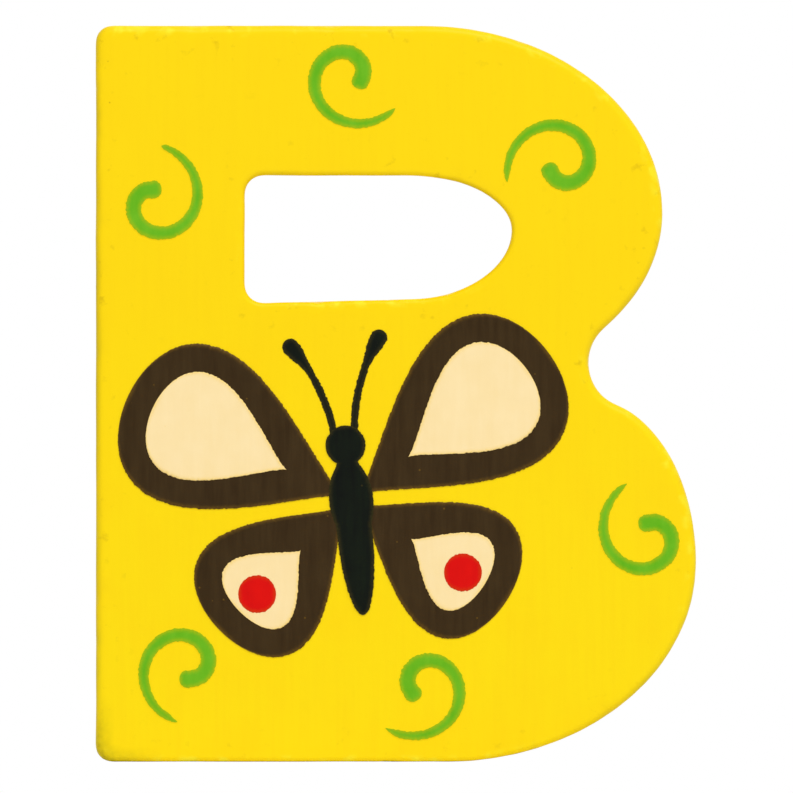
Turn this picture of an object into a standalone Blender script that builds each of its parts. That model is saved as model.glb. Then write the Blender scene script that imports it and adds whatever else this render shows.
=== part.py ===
"""A painted wooden letter B with a printed butterfly and six printed curls.

Metres, +Z up. The letter stands on its base, its printed face looks towards -Y,
and the origin is under the middle of the whole part.
"""
import math
from collections import namedtuple

import bpy
import numpy as np

MM = 0.001

# Board: thickness and edges.
BOARD_THICKNESS = 10.0 * MM
EDGE_ROUND = 0.9 * MM
CORNER_RADIUS = 1.5 * MM

# Board outline, measured from the stem's back edge and stacked upwards from the base.
STEM_WIDTH = 14.2 * MM
LOWER_BOWL_REACH = 57.1 * MM
LOWER_BOWL_RISE = 18.9 * MM
BASE_CURVE_RUN = 23.6 * MM
SHOULDER_RUN = 10.2 * MM
SHOULDER_RISE = 15.6 * MM
NECK_HEIGHT = 1.0 * MM
UPPER_BOWL_REACH = 53.9 * MM
UPPER_BOWL_RUN = 22.5 * MM
UPPER_BOWL_FALL = 16.7 * MM
UPPER_BOWL_RISE = 17.8 * MM
WAIST_RADIUS = 4.3 * MM

# Counter: the one opening, inside the upper bowl.
TOP_BAR_HEIGHT = 14.3 * MM
BOWL_WALL = 14.4 * MM
COUNTER_HEIGHT = 11.7 * MM
COUNTER_FLOOR_DROP = 0.4 * MM
COUNTER_END_RUN = 9.8 * MM
COUNTER_END_RISE = 6.6 * MM
COUNTER_CORNER_RADIUS = 1.7 * MM

# Printed ink: one layer for each pass, lying on the pass below with a hair of clearance.
INK_THICKNESS = 0.1 * MM
INK_CLEARANCE = 0.05 * MM
LINE_PASS = 1
WING_PASS = 2
MARKING_PASS = 3
SPOT_PASS = 4

# Butterfly: placed in the lower bowl, beside a free lane for the curl at its right.
EDGE_MARGIN = 1.5 * MM
CURL_LANE = 10.0 * MM
BUTTERFLY_LIFT = 6.0 * MM
BUTTERFLY_TILT = math.radians(6.0)
WING_ROOT_GAP = 0.8 * MM
WING_POINTING = 1.5
FORE_WING_LENGTH = 22.6 * MM
FORE_WING_WIDTH = 15.6 * MM
FORE_WING_ANGLE = math.radians(31.0)
HIND_WING_LENGTH = 16.8 * MM
HIND_WING_WIDTH = 13.2 * MM
HIND_WING_ANGLE = math.radians(-39.0)
PATCH_START = 6.0 * MM
WING_BORDER = 2.6 * MM
SPOT_DIAMETER = 3.6 * MM
BODY_TAIL = 11.0 * MM
BODY_WIDTH = 3.4 * MM
THORAX_LENGTH = 7.6 * MM
THORAX_WIDTH = 4.2 * MM
HEAD_LIFT = 5.2 * MM
HEAD_DIAMETER = 3.8 * MM
ANTENNA_LENGTH = 9.6 * MM
ANTENNA_SPREAD = math.radians(20.0)
ANTENNA_BEND = math.radians(32.0)
ANTENNA_STROKE = 0.7 * MM
ANTENNA_KNOB = 1.6 * MM

# Curls: one tapered spiral, drawn from its thick, straight inner end outwards.
CURL_EYE_RADIUS = 1.17 * MM
CURL_GROWTH = 4.24 * MM
CURL_OPENING = 1.38
CURL_STROKE = 1.63 * MM
CURL_TIP = 0.28 * MM
CURL_TAPER = 0.40
CURL_SWEEP = math.radians(351.0)
CURL_BEND_SHARE = 0.06
CURL_STRAIGHT = 0.7 * MM

# Brush strokes: how deep the blunt end is for its half width, and how square its shoulders are.
BLUNT_DEPTH = 0.6
BLUNT_SHOULDER = 2 / 3

# Each curl's middle, measured from the part of the letter that it decorates.
TOP_CURL_ACROSS = 9.9 * MM
TOP_CURL_DROP = 4.7 * MM
STEM_CURL_ACROSS = 5.5 * MM
STEM_CURL_RISE = 9.2 * MM
BOWL_CURL_INSET = 9.6 * MM
BOWL_CURL_RISE = 4.5 * MM
RIGHT_CURL_INSET = 4.4 * MM
RIGHT_CURL_RISE = 2.6 * MM
CORNER_CURL_ACROSS = 8.8 * MM
CORNER_CURL_RISE = 9.1 * MM
BASE_CURL_INSET = 2.4 * MM
BASE_CURL_RISE = 7.3 * MM

# How many points draw one round stretch of an outline.
ARC_COUNT = 18
CORNER_COUNT = 6
WING_COUNT = 40
SPOT_COUNT = 28
BODY_COUNT = 26
STROKE_COUNT = 34
EDGE_STEP_COUNT = 2
ROLLING_COUNT = 4000

# Heights and places that follow from the sizes above.
UPPER_BOWL_FLOOR = LOWER_BOWL_RISE + SHOULDER_RISE + NECK_HEIGHT
UPPER_BOWL_HEIGHT = UPPER_BOWL_FLOOR + UPPER_BOWL_FALL
LETTER_HEIGHT = UPPER_BOWL_HEIGHT + UPPER_BOWL_RISE
COUNTER_TOP = LETTER_HEIGHT - TOP_BAR_HEIGHT
COUNTER_FLOOR = COUNTER_TOP - COUNTER_HEIGHT
COUNTER_RIGHT = UPPER_BOWL_REACH - BOWL_WALL
BASE_CURVE_START = LOWER_BOWL_REACH - BASE_CURVE_RUN
LETTER_WIDTH = max(LOWER_BOWL_REACH, UPPER_BOWL_REACH)
PRINT_HEIGHT = SPOT_PASS * (INK_CLEARANCE + INK_THICKNESS)

Curl = namedtuple("Curl", "name across up start_degrees hand")

CURLS = (
    Curl("curl_top", STEM_WIDTH + TOP_CURL_ACROSS, LETTER_HEIGHT - TOP_CURL_DROP, -27.0, 1),
    Curl("curl_stem", STEM_CURL_ACROSS, COUNTER_FLOOR + STEM_CURL_RISE, 91.0, 1),
    Curl("curl_bowl", UPPER_BOWL_REACH - BOWL_CURL_INSET, UPPER_BOWL_HEIGHT + BOWL_CURL_RISE, -154.0, 1),
    Curl("curl_right", LOWER_BOWL_REACH - RIGHT_CURL_INSET, LOWER_BOWL_RISE + RIGHT_CURL_RISE, 105.0, -1),
    Curl("curl_base_left", CORNER_CURL_ACROSS, CORNER_CURL_RISE, -92.0, 1),
    Curl("curl_base_middle", BASE_CURVE_START - BASE_CURL_INSET, BASE_CURL_RISE, -140.0, -1),
)


def clear_scene():
    """Remove whatever the file opened with."""
    for item in list(bpy.data.objects):
        bpy.data.objects.remove(item, do_unlink=True)


def linear(channel):
    """One display channel, 0 to 255, as the linear value that a shader takes."""
    value = channel / 255.0
    return value / 12.92 if value <= 0.04045 else ((value + 0.055) / 1.055) ** 2.4


def finish(name, colour, roughness):
    """A paint or ink: colour as red, green and blue from 0 to 255."""
    material = bpy.data.materials.new(name)
    material.use_nodes = True
    shader = material.node_tree.nodes["Principled BSDF"]
    shader.inputs["Base Color"].default_value = [linear(c) for c in colour] + [1.0]
    shader.inputs["Roughness"].default_value = roughness
    shader.inputs["Metallic"].default_value = 0.0
    return material


def arc(centre, run, rise, start, end, count):
    """Points along part of an ellipse, angles in degrees, both ends included."""
    angles = np.radians(np.linspace(start, end, count))
    return np.column_stack((centre[0] + run * np.cos(angles), centre[1] + rise * np.sin(angles)))


def rounded_corner(before, corner, after, radius):
    """Points of the arc that rounds a corner between two straight edges."""
    towards_before = (before - corner) / np.linalg.norm(before - corner)
    towards_after = (after - corner) / np.linalg.norm(after - corner)
    half_angle = math.acos(float(np.dot(towards_before, towards_after))) / 2
    middle = towards_before + towards_after
    centre = corner + middle / np.linalg.norm(middle) * radius / math.sin(half_angle)
    setback = radius / math.tan(half_angle)
    first = corner + towards_before * setback - centre
    last = corner + towards_after * setback - centre
    turns = np.linspace(0.0, 1.0, CORNER_COUNT)[:, None]
    spokes = first * (1 - turns) + last * turns
    return centre + radius * spokes / np.linalg.norm(spokes, axis=1)[:, None]


def rolling_circle(centre, run, rise, start, end):
    """The waist's circle rolled along a straight edge and the quarter ellipse that follows it.

    Returns the circle's centres, the points where it touches and their angles on the ellipse.
    """
    angles = np.radians(np.linspace(start, end, ROLLING_COUNT))
    curve = np.column_stack((centre[0] + run * np.cos(angles), centre[1] + rise * np.sin(angles)))
    normals = np.column_stack((rise * np.cos(angles), run * np.sin(angles)))
    normals /= np.linalg.norm(normals, axis=1)[:, None]
    straight = np.array(((0.0, curve[0, 1]),))
    touches = np.vstack((straight, curve))
    centres = touches + WAIST_RADIUS * np.vstack((normals[:1], normals))
    return centres, touches, np.degrees(np.concatenate((angles[:1], angles)))


def waist(upper_centre, shoulder_centre):
    """The concave arc between the bowls, with the angle where it meets each of them."""
    upper = rolling_circle(upper_centre, UPPER_BOWL_RUN, UPPER_BOWL_FALL, 270.0, 360.0)
    lower = rolling_circle(shoulder_centre, SHOULDER_RUN, SHOULDER_RISE, 90.0, 0.0)
    across = np.linspace(0.0, min(upper[0][-1, 0], lower[0][-1, 0]), ROLLING_COUNT)
    gap = np.interp(across, *upper[0].T) - np.interp(across, *lower[0].T)
    x = across[np.argmax(gap > 0)]
    centre = np.array((x, np.interp(x, *lower[0].T)))
    ends = []
    for centres, touches, angles in (upper, lower):
        touch = np.array([np.interp(x, centres[:, 0], column) for column in touches.T])
        bearing = math.degrees(math.atan2(*(touch - centre)[::-1])) % 360.0
        ends.append((bearing, np.interp(x, centres[:, 0], angles)))
    (begin, meets_upper), (stop, meets_shoulder) = ends
    return arc(centre, WAIST_RADIUS, WAIST_RADIUS, begin, stop, ARC_COUNT), meets_upper, meets_shoulder


def board_outline():
    """The letter's outer edge, clockwise from the top left corner."""
    top_left = np.array((0.0, LETTER_HEIGHT))
    base_left = np.array((0.0, 0.0))
    upper_centre = np.array((UPPER_BOWL_REACH - UPPER_BOWL_RUN, UPPER_BOWL_HEIGHT))
    shoulder_centre = np.array((LOWER_BOWL_REACH - SHOULDER_RUN, LOWER_BOWL_RISE))
    base_centre = np.array((BASE_CURVE_START, LOWER_BOWL_RISE))
    top_end = np.array((upper_centre[0], LETTER_HEIGHT))
    base_end = np.array((BASE_CURVE_START, 0.0))
    notch, meets_upper, meets_shoulder = waist(upper_centre, shoulder_centre)
    return np.vstack((
        rounded_corner(base_left, top_left, top_end, CORNER_RADIUS),
        arc(upper_centre, UPPER_BOWL_RUN, UPPER_BOWL_RISE, 90.0, 0.0, ARC_COUNT),
        arc(upper_centre, UPPER_BOWL_RUN, UPPER_BOWL_FALL, 360.0, meets_upper, ARC_COUNT)[1:-1],
        notch,
        arc(shoulder_centre, SHOULDER_RUN, SHOULDER_RISE, meets_shoulder, 0.0, ARC_COUNT)[1:],
        arc(base_centre, BASE_CURVE_RUN, LOWER_BOWL_RISE, 360.0, 270.0, ARC_COUNT)[1:],
        rounded_corner(base_end, base_left, top_left, CORNER_RADIUS),
    ))


def counter_outline():
    """The opening in the upper bowl, anticlockwise, so that it is cut out of the board."""
    floor_left = np.array((STEM_WIDTH, COUNTER_FLOOR - COUNTER_FLOOR_DROP))
    top_left = np.array((STEM_WIDTH, COUNTER_TOP))
    end_centre = np.array((COUNTER_RIGHT - COUNTER_END_RUN, COUNTER_FLOOR + COUNTER_END_RISE))
    floor_end = np.array((end_centre[0], COUNTER_FLOOR))
    top_end = np.array((end_centre[0], COUNTER_TOP))
    end_drop = COUNTER_TOP - end_centre[1]
    return np.vstack((
        rounded_corner(top_left, floor_left, floor_end, COUNTER_CORNER_RADIUS),
        arc(end_centre, COUNTER_END_RUN, COUNTER_END_RISE, 270.0, 360.0, ARC_COUNT),
        arc(end_centre, COUNTER_END_RUN, end_drop, 0.0, 90.0, ARC_COUNT)[1:],
        rounded_corner(top_end, top_left, floor_left, COUNTER_CORNER_RADIUS),
    ))


def wing_outline(length, width, start=0.0):
    """A teardrop along +X from its pointed root; its widest place lies past the middle."""
    turn = np.linspace(0.0, 2 * math.pi, WING_COUNT, endpoint=False)
    swell = np.sin(turn) * np.abs(np.sin(turn / 2)) ** WING_POINTING
    across = width / 2 * swell / swell.max()
    along = start + length * (1 - np.cos(turn)) / 2
    return np.column_stack((along, across))


def wing_waist_place(length, start=0.0):
    """How far along a teardrop its widest place lies."""
    cosine = -WING_POINTING / (2 + WING_POINTING)
    return start + length * (1 - cosine) / 2


def turned(points, angle, mirror=1):
    """Points turned by an angle, then mirrored across the butterfly's body if mirror is -1."""
    cosine = math.cos(angle)
    sine = math.sin(angle)
    rotated = points @ np.array(((cosine, sine), (-sine, cosine)))
    return rotated * (mirror, 1)


def stroke_outline(path, half_widths):
    """The edge of a brush stroke: a path with a half width at each point, a blunt tail and a round tip."""
    along = np.gradient(path, axis=0)
    along /= np.linalg.norm(along, axis=1)[:, None]
    side = np.column_stack((-along[:, 1], along[:, 0]))
    left = path + side * half_widths[:, None]
    right = path - side * half_widths[:, None]
    bend = np.linspace(0.0, math.pi, CORNER_COUNT)[1:-1, None]
    tip = path[-1] + half_widths[-1] * (np.cos(bend) * side[-1] + np.sin(bend) * along[-1])
    shoulder = np.sign(np.cos(bend)) * np.abs(np.cos(bend)) ** BLUNT_SHOULDER
    depth = BLUNT_DEPTH * np.sin(bend) ** BLUNT_SHOULDER
    tail = path[0] - half_widths[0] * (shoulder * side[0] + depth * along[0])
    return np.vstack((left, tip, right[::-1], tail))


def curl_outline(start_degrees, hand):
    """A tapered spiral that opens from its thick inner end, where it runs straight."""
    turn = hand * CURL_SWEEP
    bend_radius = CURL_EYE_RADIUS + CURL_GROWTH * CURL_BEND_SHARE ** CURL_OPENING
    share = np.linspace(CURL_BEND_SHARE - CURL_STRAIGHT / (bend_radius * CURL_SWEEP), 1.0, STROKE_COUNT)
    opened = np.maximum(share, CURL_BEND_SHARE)
    angle = math.radians(start_degrees) + turn * opened
    radius = CURL_EYE_RADIUS + CURL_GROWTH * opened ** CURL_OPENING
    growth = CURL_GROWTH * CURL_OPENING * opened ** (CURL_OPENING - 1)
    outward = np.column_stack((np.cos(angle), np.sin(angle)))
    onward = np.column_stack((-np.sin(angle), np.cos(angle)))
    heading = growth[:, None] * outward + (radius * turn)[:, None] * onward
    path = radius[:, None] * outward + (share - opened)[:, None] * heading
    thinning = (1 - np.maximum(share, 0.0)) ** CURL_TAPER
    half_widths = (CURL_TIP + (CURL_STROKE - CURL_TIP) * thinning) / 2
    return stroke_outline(path, half_widths)


def ellipse_half_width(along, centre, half_length, half_width):
    """Half the width of an ellipse at each place along its length."""
    inside = np.clip(1 - ((along - centre) / half_length) ** 2, 0.0, None)
    return half_width * np.sqrt(inside)


def body_outline():
    """Head, thorax and tapering tail in one piece, along the butterfly's own upright axis."""
    top = HEAD_LIFT + HEAD_DIAMETER / 2
    turn = np.linspace(0.0, math.pi, BODY_COUNT)
    along = (top - BODY_TAIL) / 2 + (top + BODY_TAIL) / 2 * np.cos(turn)
    tail_half = (BODY_TAIL + HEAD_LIFT) / 2
    half_widths = np.maximum.reduce((
        ellipse_half_width(along, HEAD_LIFT, HEAD_DIAMETER / 2, HEAD_DIAMETER / 2),
        ellipse_half_width(along, 0.0, THORAX_LENGTH / 2, THORAX_WIDTH / 2),
        ellipse_half_width(along, tail_half - BODY_TAIL, tail_half, BODY_WIDTH / 2),
    ))
    left = np.column_stack((-half_widths, along))
    right = np.column_stack((half_widths, along))
    return np.vstack((left, right[-2:0:-1]))


def antenna_outline(mirror):
    """A thin feeler that bends outwards to a small knob."""
    share = np.linspace(0.0, 1.0, STROKE_COUNT)
    heading = math.pi / 2 - ANTENNA_SPREAD - (share - 0.5) * ANTENNA_BEND
    steps = ANTENNA_LENGTH / (STROKE_COUNT - 1) * np.column_stack((np.cos(heading), np.sin(heading)))
    root = np.array((HEAD_DIAMETER / 4, HEAD_LIFT + HEAD_DIAMETER / 4))
    path = root + np.cumsum(steps, axis=0) - steps[0]
    knob_start = 1 - 2 * ANTENNA_KNOB / ANTENNA_LENGTH
    swell = np.clip((share - knob_start) / (1 - knob_start), 0.0, 1.0)
    half_widths = (ANTENNA_STROKE + (ANTENNA_KNOB - ANTENNA_STROKE) * np.sin(swell * math.pi / 2) ** 2) / 2
    return stroke_outline(path, half_widths) * (mirror, 1)


def flat_piece(name, outlines, thickness, material, parent, place, edge_round=0.0):
    """A flat piece cut to its outlines; place is across, up and forward of its parent."""
    curve = bpy.data.curves.new(name, "CURVE")
    curve.dimensions = "2D"
    curve.fill_mode = "BOTH"
    curve.extrude = thickness / 2 - edge_round
    curve.bevel_depth = edge_round
    curve.bevel_resolution = EDGE_STEP_COUNT
    curve.offset = -edge_round
    for outline in outlines:
        spline = curve.splines.new("POLY")
        spline.points.add(len(outline) - 1)
        for point, (across, up) in zip(spline.points, outline):
            point.co = (across, up, 0.0, 1.0)
        spline.use_cyclic_u = True
    curve.materials.append(material)
    piece = bpy.data.objects.new(name, curve)
    piece.parent = parent
    piece.location = place
    bpy.context.collection.objects.link(piece)
    return piece


def guide(name, parent=None, place=(0.0, 0.0, 0.0), rotation=(0.0, 0.0, 0.0)):
    """An empty that carries a group of pieces."""
    empty = bpy.data.objects.new(name, None)
    empty.parent = parent
    empty.location = place
    empty.rotation_euler = rotation
    bpy.context.collection.objects.link(empty)
    return empty


def layer(printing_pass):
    """How far forward of the board's middle the ink of a pass lies."""
    pitch = INK_CLEARANCE + INK_THICKNESS
    return BOARD_THICKNESS / 2 + printing_pass * pitch - INK_THICKNESS / 2


def add_board(letter, paint):
    """The board itself, with its counter and rounded edges."""
    outlines = (board_outline(), counter_outline())
    flat_piece("letter_board", outlines, BOARD_THICKNESS, paint, letter, (0.0, 0.0, 0.0), EDGE_ROUND)


def add_curls(letter, green):
    """The six printed curls."""
    for curl in CURLS:
        outline = curl_outline(curl.start_degrees, curl.hand)
        place = (curl.across, curl.up, layer(LINE_PASS))
        flat_piece(curl.name, (outline,), INK_THICKNESS, green, letter, place)


def add_wing(side, mirror, prefix, length, width, angle, butterfly, brown, cream):
    """One wing with its pale patch on the next layer; returns the patch's widest place."""
    root = np.array((WING_ROOT_GAP, 0.0))
    wing = turned(wing_outline(length, width) + root, angle, mirror)
    patch_length = length - PATCH_START - WING_BORDER
    patch_width = width - 2 * WING_BORDER
    patch = turned(wing_outline(patch_length, patch_width, PATCH_START) + root, angle, mirror)
    flat_piece(f"{prefix}_wing_{side}", (wing,), INK_THICKNESS, brown, butterfly,
               (0.0, 0.0, layer(WING_PASS)))
    flat_piece(f"{prefix}_patch_{side}", (patch,), INK_THICKNESS, cream, butterfly,
               (0.0, 0.0, layer(MARKING_PASS)))
    middle = np.array(((wing_waist_place(patch_length, PATCH_START), 0.0),)) + root
    return turned(middle, angle, mirror)[0]


def add_butterfly(letter, brown, cream, red, black):
    """The printed butterfly: wings, patches, spots, body and antennae."""
    across = (EDGE_MARGIN + LOWER_BOWL_REACH - CURL_LANE) / 2
    place = (across, LOWER_BOWL_RISE + BUTTERFLY_LIFT, 0.0)
    butterfly = guide("butterfly", letter, place, (0.0, 0.0, BUTTERFLY_TILT))
    spot = arc((0.0, 0.0), SPOT_DIAMETER / 2, SPOT_DIAMETER / 2, 0.0, 360.0, SPOT_COUNT + 1)[:-1]
    for side, mirror in (("left", -1), ("right", 1)):
        add_wing(side, mirror, "fore", FORE_WING_LENGTH, FORE_WING_WIDTH, FORE_WING_ANGLE,
                 butterfly, brown, cream)
        spot_place = add_wing(side, mirror, "hind", HIND_WING_LENGTH, HIND_WING_WIDTH, HIND_WING_ANGLE,
                              butterfly, brown, cream)
        flat_piece(f"hind_spot_{side}", (spot,), INK_THICKNESS, red, butterfly,
                   (*spot_place, layer(SPOT_PASS)))
        flat_piece(f"antenna_{side}", (antenna_outline(mirror),), INK_THICKNESS, black, butterfly,
                   (0.0, 0.0, layer(LINE_PASS)))
    flat_piece("butterfly_body", (body_outline(),), INK_THICKNESS, black, butterfly,
               (0.0, 0.0, layer(MARKING_PASS)))


def main():
    """Build the letter upright over the origin."""
    clear_scene()
    place = (-LETTER_WIDTH / 2, PRINT_HEIGHT / 2, 0.0)
    letter = guide("letter", place=place, rotation=(math.pi / 2, 0.0, 0.0))
    add_board(letter, finish("yellow_paint", (255, 221, 14), 0.35))
    add_curls(letter, finish("green_ink", (114, 186, 36), 0.4))
    add_butterfly(
        letter,
        finish("brown_ink", (61, 47, 28), 0.4),
        finish("cream_ink", (254, 229, 173), 0.4),
        finish("red_ink", (222, 20, 12), 0.4),
        finish("black_ink", (21, 28, 20), 0.4),
    )


main()
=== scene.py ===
"""Looks for the painted wooden letter: its finished board, its printed inks, the light and the camera."""
import math
from collections import namedtuple
from itertools import count

import bpy
import numpy as np
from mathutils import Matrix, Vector
from mathutils.geometry import delaunay_2d_cdt


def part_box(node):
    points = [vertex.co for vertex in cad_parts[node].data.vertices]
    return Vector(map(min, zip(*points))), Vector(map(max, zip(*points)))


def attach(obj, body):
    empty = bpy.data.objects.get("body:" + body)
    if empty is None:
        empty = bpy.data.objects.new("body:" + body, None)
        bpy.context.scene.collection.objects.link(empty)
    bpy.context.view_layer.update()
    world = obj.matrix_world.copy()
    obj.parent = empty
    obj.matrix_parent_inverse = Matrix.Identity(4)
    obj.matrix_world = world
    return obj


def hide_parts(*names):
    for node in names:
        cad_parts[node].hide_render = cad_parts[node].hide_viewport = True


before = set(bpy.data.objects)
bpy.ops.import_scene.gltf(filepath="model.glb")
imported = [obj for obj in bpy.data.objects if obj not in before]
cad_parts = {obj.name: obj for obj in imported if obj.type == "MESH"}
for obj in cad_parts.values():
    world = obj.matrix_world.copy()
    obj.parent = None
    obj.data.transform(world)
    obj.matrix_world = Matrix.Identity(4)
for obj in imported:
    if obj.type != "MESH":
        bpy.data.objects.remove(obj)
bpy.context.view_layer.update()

MM = 0.001
SEED = 20

# Board: its round-overs, sharper where an edge faces straight down, and how finely it is drawn.
EDGE_ROUND = 0.8 * MM
BASE_ROUND = 0.45 * MM
BASE_TURN = 6
OPENING_ROUND = 0.55 * MM
OUTLINE_STEP = 0.25 * MM
OUTLINE_SOFTENING = 0.5 * MM
ROUND_STEPS = 8
WALL_STEPS = 10
WALL_TILT = 0.02
FACE_STEP = 0.8 * MM
FACE_JITTER = 0.2

# Hand sanding: how far the outline, the round-overs and the walls stray, and the shortest wave of it.
OUTLINE_WANDER = 0.06 * MM
ROUND_UNEVENNESS = 0.14
WALL_WANDER = 0.05 * MM
SHORTEST_WAVE = 5.0 * MM

# Dents from handling: how many lie along a stretch of edge, their sizes, and the rings left free of them.
DENT_STRETCH = 300.0 * MM
FRONT_DENT_COUNT = 40
WALL_DENT_COUNT = 24
BACK_DENT_COUNT = 40
DENT_DEPTHS = (0.03 * MM, 0.10 * MM)
DENT_SIZES = (0.25 * MM, 0.60 * MM)
DENT_FREE_RINGS = 2

# Grime and painted shade: grime an edge takes anywhere, painted shade on edges facing left and down,
# less on edges facing up, less at the back and none just above the floor, and how near the stem's lower
# front corner the paint is darker.
GRIME_ANYWHERE = 0.28
SHADE_FACING_LEFT = 0.60
SHADE_FACING_DOWN = 0.66
SHADE_FACING_UP = -0.16
GRIME_AND_SHADE_AT_BACK = 0.3
PLAIN_FOOT = (1.0 * MM, 4.0 * MM)
DARKER_CORNER = (6.5 * MM, 1.0 * MM)

# Paint: its colours on a display above and below, and where one passes into the other.
PAINT_ABOVE = (255, 219, 18)
PAINT_BELOW = (255, 225, 10)
PAINT_CHANGE = (50.0 * MM, 6.0 * MM)
PAINT_CHANGE_WANDER = 14.0 * MM

# Layers on the paint: the size and detail of their clouds, which of them show, and their colour.
Layer = namedtuple("Layer", "size detail shown colour")
MOTTLE = Layer(7.0 * MM, 4.0, (0.45, 0.75), (255, 216, 14))
GRAIN = Layer(0.6 * MM, 4.0, (0.40, 0.80), (250, 211, 12))
# Paler yellow on the round-overs: rubbed paint and a painted highlight, strongest on edges facing up and
# right.
RUBBED_HIGHLIGHT = Layer(1.7 * MM, 3.0, (0.54, 0.68), (253, 238, 52))
SMUDGE = Layer(1.1 * MM, 4.0, (0.64, 0.80), (196, 160, 14))
# Olive grime along the rims, with painted shade where edges face left and down.
GRIME_AND_SHADE = Layer(5.0 * MM, 5.0, (0.32, 0.68), (146, 140, 24))
GRAIN_STRETCH = 16.0
PEEL_SIZE = 0.5 * MM
PEEL_DETAIL = 2.0
PEEL_SHOWN = (0.3, 0.7)

# How strong each layer is, at most or from one place to another.
MOTTLE_STRENGTH = 0.5
GRAIN_FROM_FACE_TO_WALL = (0.25, 0.65)
# Rubbed paint and painted highlight: full where grime and painted shade is least, none where it is most.
RUBBED_HIGHLIGHT_STRENGTH = 0.75
RUBBED_HIGHLIGHT_BY_GRIME_AND_SHADE = (0.55, 0.15)
SMUDGE_STRENGTH = 0.55
SMUDGE_FROM_FACE_TO_EDGE = (0.12, 0.97)
SMUDGE_FROM_FACE_TO_WALL = (1.0, 0.4)
SMUDGE_FROM_TOP_TO_FOOT = (1.0, 0.6)
GRIME_AND_SHADE_STRENGTH = 0.7
GRIME_AND_SHADE_FROM_THIN_TO_THICK = (0.4, 1.0)
CORNER_DARKENING_FROM_THIN_TO_THICK = (0.6, 1.0)

# Zones across an edge, in millimetres past the rim of a face: where each sets in or dies away.
WALL_SETS_IN = (1.1, 1.8)
ROUND_SETS_IN = (-0.3, 0.2)
ROUND_DIES_AWAY = (1.6, 1.1)
RIM_SETS_IN = (0.25, 1.05)
RIM_DIES_AWAY = (2.0, 1.3)
SMUDGES_SET_IN = (-3.5, -0.2)
CORNER_DARKENING_SETS_IN = (-1.0, 0.7)

# Specks: stray bits in the paint and pinholes in the ink, about one for each pitch, and a share kept.
STRAY_PITCH = 4.0 * MM
STRAY_RADIUS = 0.14 * MM
STRAY_SHARE = 0.25
STRAY_COLOUR = (176, 140, 20)
STRAY_STRENGTH = 0.5
PINHOLE_PITCH = 1.1 * MM
PINHOLE_RADIUS = 0.13 * MM
PINHOLE_STRENGTH = 0.7
SMALLEST_SPECK = 0.3
SPECK_EDGE = (1.15, 0.7)

# Inks: light and dark colour on a display, the colour where ink is thin, streaking and share of pinholes.
Ink = namedtuple("Ink", "light dark thin streaking holes")
GREEN_INK = Ink((118, 190, 42), (98, 178, 30), (172, 190, 18), 0.35, 0.10)
BROWN_INK = Ink((66, 51, 31), (56, 42, 25), (112, 84, 32), 0.7, 0.16)
CREAM_INK = Ink((255, 231, 178), (252, 226, 168), (250, 214, 120), 0.4, 0.06)
RED_INK = Ink((226, 24, 15), (214, 16, 10), (206, 62, 14), 0.4, 0.08)
BLACK_INK = Ink((26, 32, 24), (17, 23, 16), (60, 54, 28), 0.5, 0.08)
STREAK_WIDTH = 0.5 * MM
STREAK_STRETCH = 9.0
INK_CLOUD_SIZE = 2.4 * MM
INK_CLOUD_DETAIL = 3.0
INK_CLOUD_SHOWN = (0.34, 0.68)
INK_FINE_SIZE = 0.25 * MM
INK_FINE_DETAIL = 2.0
INK_FINE_SHOWN = (0.3, 0.7)
STARVED_EDGE_MM = 0.5
STARVED_FALL = 1.5
STARVED_FROM_LEAST_TO_MOST = (0.5, 1.1)

# Sheen: the white it adds to a colour, the darkest colour left, and how glossy and rough each finish is.
SHEEN = 0.007
DARKEST = 0.0005
PAINT_GLOSS = 0.12
PAINT_ROUGHNESS = 0.30
MOTTLE_ROUGHNESS = 0.10
PEEL_ROUGHNESS = 0.08
SMUDGE_ROUGHNESS = 0.15
INK_GLOSS = 0.10
INK_ROUGHNESS = 0.34
THICK_INK_ROUGHNESS = 0.10
FINE_INK_ROUGHNESS = 0.08

# Relief too fine to model, in millimetres.
PEEL_RELIEF = 0.006
GRAIN_RELIEF_FROM_FACE_TO_WALL = (0.005, 0.021)
SPECK_DEPTH = 0.01
FINE_INK_RELIEF = 0.005
THICK_INK_RELIEF = 0.004

# Ink films: their edges are ragged, and each pass of the printing lies higher than the one below.
FILM = {"Raggedness": 0.15 * MM, "Ragged pitch": 0.26 * MM, "Foot": 0.03 * MM}
FILM_LABELS = (*FILM, "Across", "Up", "Turn", "Seed", "Height", "Face")
RAGGED_DETAIL = 2.0
RAGGED_WIDTH = 0.2 * MM
INK_LIFT = 0.02 * MM
LINE_PASS = 1
WING_PASS = 2
MARKING_PASS = 3
SPOT_PASS = 4

# Where the ragged edges of each kind of film start in the noise.
CURL_SEED = 0
WING_SEED = 11
SPOT_SEED = 30
BODY_SEED = 40

# How many points draw a film across and along, and how many steps into its round start it begins.
ACROSS_COUNT = 13
WING_COUNT = 560
PATCH_COUNT = 400
SPOT_COUNT = 160
BODY_COUNT = 260
ANTENNA_COUNT = 120
CAP_COUNT = 16
PATH_LEAD = 3.0

# Curls: one tapered spiral, drawn from its thick, straight inner end outwards.
CURL = {
    "Count": 460,
    "Sweep": math.radians(351.0),
    "Eye radius": 1.17 * MM,
    "Growth": 4.24 * MM,
    "Opening": 1.38,
    "Stroke": 1.63 * MM,
    "Tip": 0.28 * MM,
    "Taper": 0.40,
    "Bend share": 0.06,
    "Straight": 1.2 * MM,
    "Blunt depth": 0.75 * MM,
}
CURL_BLUNTNESS = 2.2
CURL_TIP_POINTING = 0.6

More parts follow.
